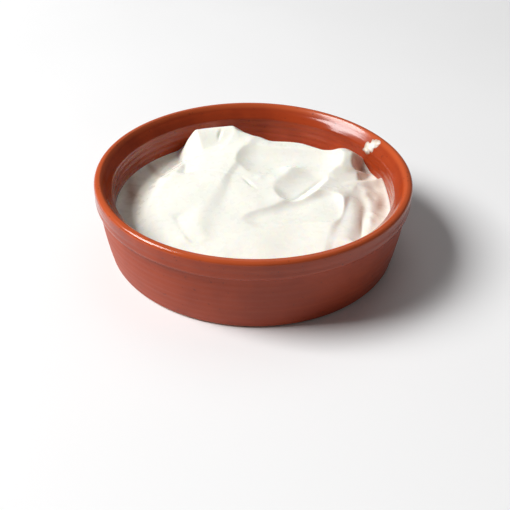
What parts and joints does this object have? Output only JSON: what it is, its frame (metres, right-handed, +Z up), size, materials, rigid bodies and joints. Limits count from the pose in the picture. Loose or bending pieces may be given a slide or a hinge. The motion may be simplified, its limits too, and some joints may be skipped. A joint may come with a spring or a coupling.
{
  "type": "bowl of yogurt",
  "caption": "Small round terracotta dish with a banded rim, filled with thick white yogurt standing in spooned folds.",
  "frame": {"origin": "middle of the dish's flat foot, on the surface it stands on", "axes": "+Z up along the dish's axis, +Y towards the back, where the yogurt stands highest, +X to the right seen from the front"},
  "size_m": [0.14, 0.14, 0.036],
  "materials": {
    "glazed_terracotta": "brick-red earthenware under a clear satin glaze",
    "yogurt": "thick cream-white yogurt with a moist sheen"
  },
  "bodies": {
    "root": {"bowl": "glazed_terracotta", "yogurt": "yogurt"}
  },
  "joints": []
}
